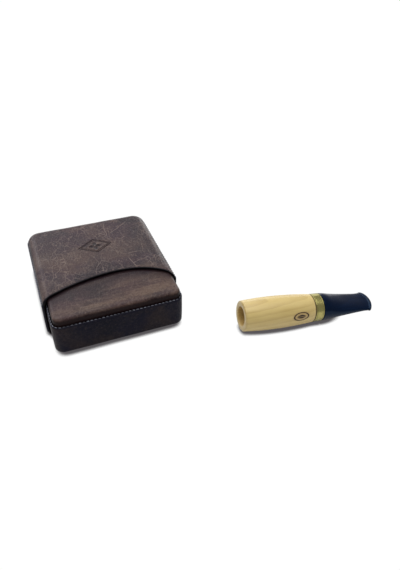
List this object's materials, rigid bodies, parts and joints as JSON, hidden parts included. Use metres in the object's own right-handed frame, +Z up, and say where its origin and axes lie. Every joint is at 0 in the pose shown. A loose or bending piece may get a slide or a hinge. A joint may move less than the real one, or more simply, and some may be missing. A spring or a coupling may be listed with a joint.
{
  "type": "cigar case and cigar holder set",
  "caption": "Telescoping moulded-leather cigar case with a crescent thumb cut, and a turned wooden cigar holder with a brass ring and a flattened black mouthpiece.",
  "frame": {"origin": "centre of the sleeve's flat underside, on the surface that the set stands on", "axes": "+X to the right along the case's front, with the holder on that side; +Y from the box's closed front to the sleeve's closed back; +Z up"},
  "size_m": [0.2068, 0.1328, 0.0305],
  "materials": {
    "sleeve_leather": "mottled dark brown, waxed and worn",
    "box_leather": "dark brown, polished on the belt",
    "lining_suede": "brown suede",
    "waxed_thread": "waxed linen thread",
    "pale_wood": "satin oiled",
    "brass": "polished",
    "black_acrylic": "buffed gloss",
    "white_acetal": "turned"
  },
  "bodies": {
    "sleeve": {"sleeve_upper_shell": "sleeve_leather", "sleeve_belt": "sleeve_leather", "sleeve_lower_shell": "sleeve_leather", "sleeve_seam_thread": "waxed_thread"},
    "box": {"box_upper_shell": "box_leather", "box_belt": "box_leather", "box_lower_shell": "box_leather", "box_lining": "lining_suede", "box_seam_thread": "waxed_thread"},
    "holder": {"holder_barrel": "pale_wood", "holder_ring": "brass"},
    "stem": {"holder_stem": "black_acrylic", "stem_tenon": "white_acetal"}
  },
  "joints": [
    {"name": "box_slide", "type": "slide", "parent": "sleeve", "child": "box", "axis": [0, -1, 0], "range_m": [0, 0.075]},
    {"name": "holder_lift", "type": "slide", "parent": "sleeve", "child": "holder", "axis": [0, 0, 1], "range_m": [0, 0.05]},
    {"name": "stem_pull", "type": "slide", "parent": "holder", "child": "stem", "axis": [0.9898, -0.1321, -0.0543], "range_m": [0, 0.014]}
  ]
}
